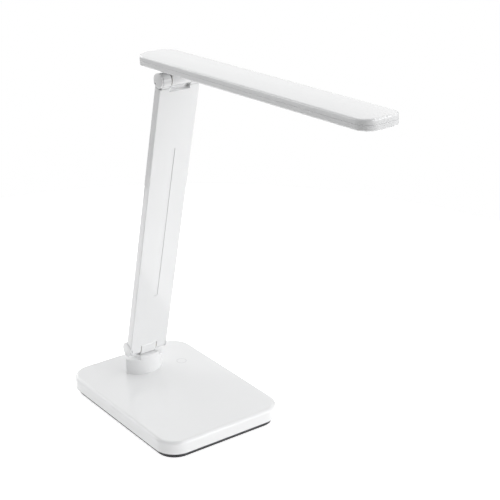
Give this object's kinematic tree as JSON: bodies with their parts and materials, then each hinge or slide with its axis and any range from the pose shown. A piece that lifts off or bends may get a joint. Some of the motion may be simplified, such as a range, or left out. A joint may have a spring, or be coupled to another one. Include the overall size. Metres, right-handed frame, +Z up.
{
  "type": "folding desk lamp",
  "caption": "Folding desk lamp: a flat light bar on a flat arm over a low weighted base, with a friction hinge at each end of the arm, a touch switch and a rear power inlet.",
  "frame": {"origin": "on the table, under the middle of the base", "axes": "+X along both hinge pins, to the right seen from the front; -Y to the front, the way the light bar points; +Z up"},
  "size_m": [0.13, 0.3686, 0.3552],
  "materials": {
    "white_gloss": "glossy white moulded plastic",
    "black_plastic": "fine-grained black moulded plastic",
    "soft_pad": "matt dark foam rubber",
    "counterweight_steel": "rolled sheet steel",
    "screw_steel": "zinc-plated steel",
    "bracket_steel": "pressed steel",
    "pin_steel": "ground steel",
    "washer_brass": "plain bronze",
    "board_green": "lacquered circuit board",
    "parts_black": "moulded black",
    "spring_steel": "plated spring wire",
    "mark_grey": "pale grey print, flush with the cover",
    "contact_metal": "nickel plated",
    "cable_red": "flat insulated cable",
    "milky_window": "milky satin plastic",
    "led_board_white": "white lacquered aluminium board",
    "led_yellow": "phosphor over a small chip"
  },
  "bodies": {
    "base": {"base_cover": "white_gloss", "base_tray": "black_plastic", "foot_pad": "soft_pad", "counterweight": "counterweight_steel", "base_screws": "screw_steel", "weight_screws": "screw_steel", "control_board": "board_green", "board_parts": "parts_black", "board_screws": "screw_steel", "touch_spring": "spring_steel", "touch_ring": "mark_grey", "inlet_housing": "black_plastic", "inlet_pin": "contact_metal", "hinge_post": "white_gloss", "post_bracket": "bracket_steel", "post_screws": "screw_steel"},
    "arm": {"arm_front_cover": "white_gloss", "arm_rear_cover": "white_gloss", "arm_spine": "bracket_steel", "arm_cable": "cable_red", "arm_screws": "screw_steel", "lower_pin": "pin_steel", "lower_washers": "washer_brass", "lower_caps": "white_gloss", "upper_barrels": "white_gloss", "upper_pin": "pin_steel", "upper_washers": "washer_brass", "upper_caps": "white_gloss"},
    "light_bar": {"bar_top_shell": "white_gloss", "bar_lower_frame": "white_gloss", "diffuser": "milky_window", "led_board": "led_board_white", "leds": "led_yellow", "bar_hinge_block": "white_gloss", "bar_bracket": "bracket_steel", "bracket_screws": "screw_steel", "bar_screws": "screw_steel"}
  },
  "joints": [
    {"name": "arm_fold", "type": "hinge", "parent": "base", "child": "arm", "pos_m": [0, 0.049, 0.0446], "axis": [1, 0, 0], "range_deg": [-57.9, 77.1]},
    {"name": "bar_fold", "type": "hinge", "parent": "arm", "child": "light_bar", "pos_m": [0, -0.01829, 0.32608], "axis": [1, 0, 0], "range_deg": [-74.5, 105.5]}
  ]
}
